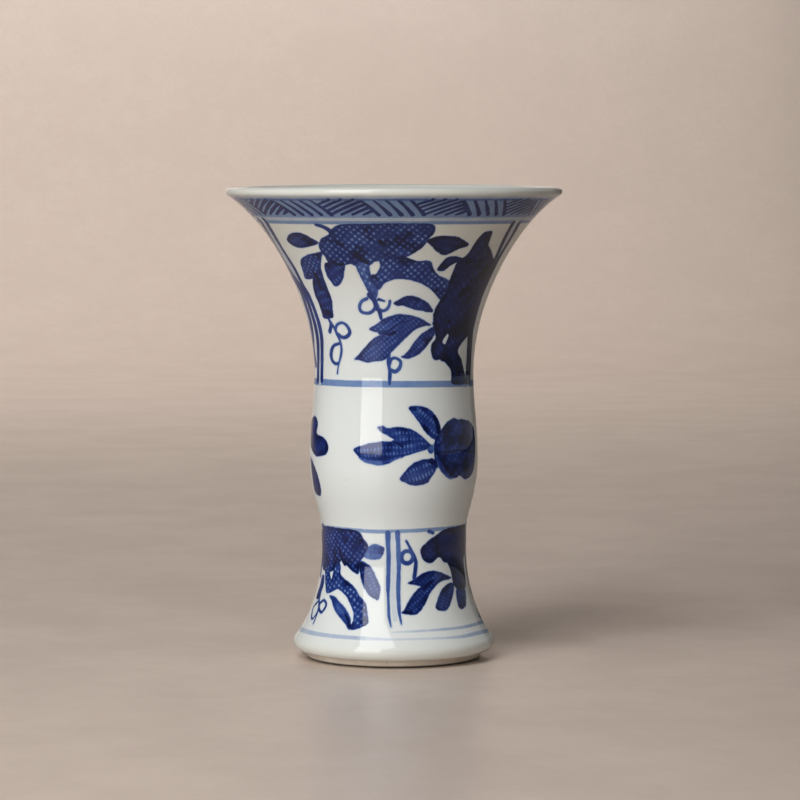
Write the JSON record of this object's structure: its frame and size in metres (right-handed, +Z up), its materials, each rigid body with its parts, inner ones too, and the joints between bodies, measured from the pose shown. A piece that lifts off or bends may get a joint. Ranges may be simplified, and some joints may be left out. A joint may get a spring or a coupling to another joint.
{
  "type": "porcelain gu vase",
  "caption": "Small glazed porcelain beaker vase of gu form, with a trumpet neck, a swollen middle and a splayed foot on an unglazed ring, for flowers or display.",
  "frame": {"origin": "centre of the foot ring, on the surface that the vase stands on", "axes": "+Z up the vase's axis towards the lip; the main painted panel of the neck faces -Y"},
  "size_m": [0.0934, 0.0934, 0.131],
  "materials": {
    "biscuit": "bare fired porcelain, dry and matte",
    "slip": "fired porcelain slip, dry and matte",
    "painted_glaze": "glossy clear glaze over blue underglaze painting on a cool white ground",
    "plain_glaze": "glossy clear glaze on a cool white ground"
  },
  "bodies": {
    "root": {"neck_section": "biscuit", "bulb_section": "biscuit", "foot_section": "biscuit", "base_disc": "biscuit", "upper_luting": "slip", "lower_luting": "slip", "base_luting": "slip", "outer_glaze": "painted_glaze", "inner_glaze": "plain_glaze", "base_glaze": "plain_glaze"}
  },
  "joints": []
}
